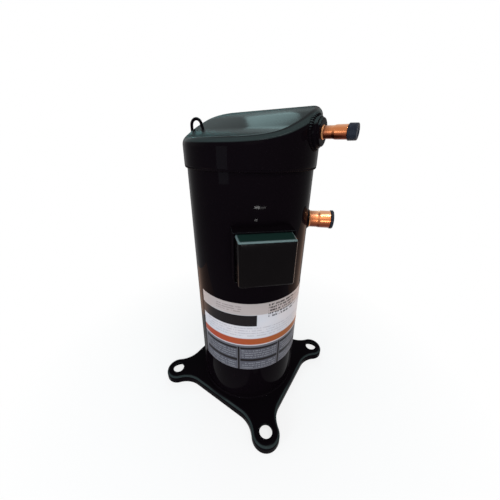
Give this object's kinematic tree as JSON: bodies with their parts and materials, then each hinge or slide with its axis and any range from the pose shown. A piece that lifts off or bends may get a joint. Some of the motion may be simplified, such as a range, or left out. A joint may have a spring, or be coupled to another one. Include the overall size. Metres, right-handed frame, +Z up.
{
  "type": "hermetic scroll compressor",
  "caption": "Upright hermetic refrigerant compressor with a ramped domed cap, copper line stubs, a wiring box, a square mounting base and a working scroll mechanism inside.",
  "frame": {"origin": "on the shell's axis, in the plane that the base's skirt stands on", "axes": "+Z up the shell, +X along the discharge stub, X and Y along the square of mounting holes"},
  "size_m": [0.2436, 0.2326, 0.4462],
  "materials": {
    "gloss_black_paint": "gloss",
    "copper": "drawn",
    "plug_rubber": "satin",
    "cover_plastic": "gloss",
    "label_vinyl": "satin",
    "bright_steel": "machined",
    "grey_iron": "machined casting",
    "sintered_iron": "sintered",
    "die_cast_aluminium": "die cast",
    "lamination_steel": "laminated",
    "winding_copper": "enamelled",
    "bearing_bronze": "machined",
    "seal_polymer": "matte",
    "bead_glass": "fused",
    "lead_insulation": "matte",
    "screw_green": "satin",
    "protector_case": "matte"
  },
  "bodies": {
    "shell": {"base_plate": "gloss_black_paint", "center_shell": "gloss_black_paint", "top_cap": "gloss_black_paint", "wrap_label": "label_vinyl", "lifting_lug": "gloss_black_paint", "muffler_plate": "bright_steel", "relief_valve": "bright_steel", "discharge_fitting": "gloss_black_paint", "discharge_valve_seat": "bright_steel", "discharge_tube": "copper", "suction_fitting": "gloss_black_paint", "suction_tube": "copper", "suction_baffle": "bright_steel", "terminal_fence": "gloss_black_paint", "ground_screw": "screw_green", "terminal_body": "bright_steel", "terminal_glass": "bead_glass", "terminal_pins": "bright_steel", "motor_leads": "lead_insulation", "main_bearing_housing": "grey_iron", "main_bearing": "bearing_bronze", "guide_sleeves": "bright_steel", "guide_bolts": "bright_steel", "stator_core": "lamination_steel", "stator_windings": "winding_copper", "motor_protector": "protector_case", "lower_bearing_housing": "grey_iron", "lower_bearing": "bearing_bronze", "thrust_washer": "bright_steel", "counterweight_shield": "seal_polymer"},
    "crank": {"crankshaft": "bright_steel", "drive_bushing": "sintered_iron", "rotor_core": "lamination_steel", "rotor_end_rings": "die_cast_aluminium", "upper_counterweight": "sintered_iron", "lower_counterweight": "sintered_iron", "oil_stirrer": "bright_steel"},
    "orbiter": {"orbiting_scroll": "grey_iron", "orbiting_hub_bearing": "bearing_bronze"},
    "fixed_scroll": {"non_orbiting_scroll": "grey_iron"},
    "seal": {"floating_seal_base": "sintered_iron", "floating_seal_plate": "sintered_iron", "seal_lip_inner": "seal_polymer", "seal_lip_outer": "seal_polymer"},
    "coupling_ring": {"oldham_ring": "sintered_iron"},
    "check_valve": {"discharge_valve_disc": "bright_steel"},
    "discharge_cap": {"discharge_plug": "plug_rubber"},
    "suction_cap": {"suction_plug": "plug_rubber"},
    "box_cover": {"terminal_cover": "cover_plastic"}
  },
  "joints": [
    {"name": "crankshaft_spin", "type": "hinge", "parent": "shell", "child": "crank", "pos_m": [0, 0, 0.26], "axis": [0, 0, 1], "continuous": true},
    {"name": "scroll_orbit", "type": "hinge", "parent": "crank", "child": "orbiter", "pos_m": [0.00575, 0, 0.289], "axis": [0, 0, 1], "continuous": true},
    {"name": "fixed_scroll_float", "type": "slide", "parent": "shell", "child": "fixed_scroll", "axis": [0, 0, 1], "range_m": [0, 0.001]},
    {"name": "seal_lift", "type": "slide", "parent": "fixed_scroll", "child": "seal", "axis": [0, 0, 1], "range_m": [0, 0.001]},
    {"name": "oldham_slide", "type": "slide", "parent": "shell", "child": "coupling_ring", "axis": [0, -1, 0], "range_m": [-0.00575, 0.00575]},
    {"name": "check_valve_lift", "type": "slide", "parent": "shell", "child": "check_valve", "axis": [1, 0, 0], "range_m": [0, 0.003]},
    {"name": "discharge_plug_pull", "type": "slide", "parent": "shell", "child": "discharge_cap", "axis": [1, 0, 0], "range_m": [0, 0.02]},
    {"name": "suction_plug_pull", "type": "slide", "parent": "shell", "child": "suction_cap", "axis": [0.8965, 0.4431, 0], "range_m": [0, 0.02]},
    {"name": "cover_pull", "type": "slide", "parent": "shell", "child": "box_cover", "axis": [0.682, -0.7314, 0], "range_m": [0, 0.03]}
  ],
  "couplings": [
    {"joint": "scroll_orbit", "follows": "crankshaft_spin", "ratio": -1}
  ]
}
